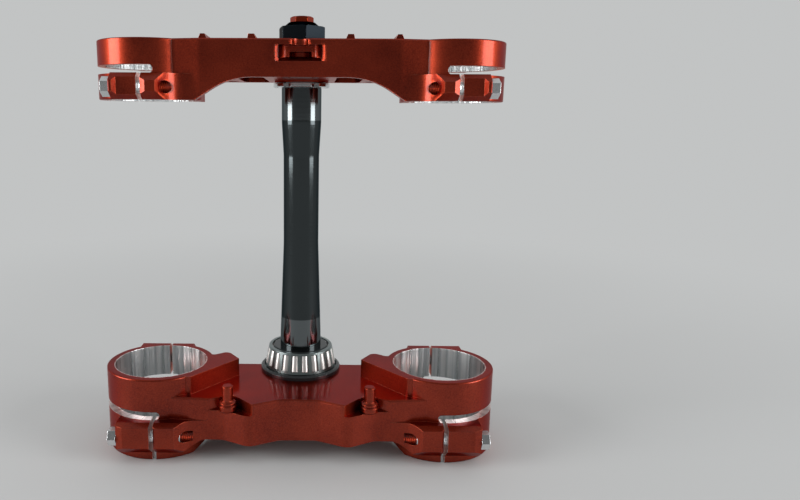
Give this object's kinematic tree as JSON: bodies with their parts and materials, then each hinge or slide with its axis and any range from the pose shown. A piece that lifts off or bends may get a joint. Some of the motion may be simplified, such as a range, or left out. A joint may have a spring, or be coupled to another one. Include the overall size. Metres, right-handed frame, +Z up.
{
  "type": "motorcycle triple clamp",
  "caption": "Motocross triple clamp: two forked plates with slotted pinch rings on a steering stem, with a lower taper bearing and stem nut.",
  "frame": {"origin": "on the steering axis at the lower end of the stem, which is flush with the underside of the lower plate", "axes": "+Z up along the steering axis, +X to the side through the fork tubes, the front of the motorcycle faces -Y"},
  "size_m": [0.2564, 0.0943, 0.2773],
  "materials": {
    "clamp_anodised": "satin copper-red anodised aluminium, bare machined bores and slots",
    "stem_steel": "polished dark steel",
    "bearing_steel": "ground bearing steel",
    "roller_steel": "lapped bright steel",
    "cage_steel": "pressed bright steel",
    "washer_steel": "plain steel",
    "seal_rubber": "black rubber",
    "adjuster_aluminium": "bright turned aluminium",
    "nut_black": "black oxide",
    "cap_black": "black anodised",
    "bolt_red": "red anodised",
    "bolt_zinc": "bright zinc plate",
    "pin_anodised": "copper-red anodised aluminium"
  },
  "bodies": {
    "clamp": {"lower_clamp": "clamp_anodised", "upper_clamp": "clamp_anodised", "steering_stem": "stem_steel", "bearing_cone": "bearing_steel", "seal_washer": "washer_steel", "dust_seal": "seal_rubber", "adjuster_nut": "adjuster_aluminium", "lock_ring": "washer_steel", "stem_nut_washer": "nut_black", "stem_nut": "nut_black", "nut_cap": "cap_black", "cap_bolt": "bolt_red", "lower_pinch_bolts": "bolt_zinc", "upper_pinch_bolts": "bolt_zinc", "left_guide_pin": "pin_anodised", "left_pin_collar": "pin_anodised", "right_guide_pin": "pin_anodised", "right_pin_collar": "pin_anodised"},
    "cage": {"bearing_cage": "cage_steel", "bearing_rollers": "roller_steel"}
  },
  "joints": [
    {"name": "cage_turn", "type": "hinge", "parent": "clamp", "child": "cage", "pos_m": [0, 0, 0.0365], "axis": [0, 0, 1], "continuous": true}
  ]
}
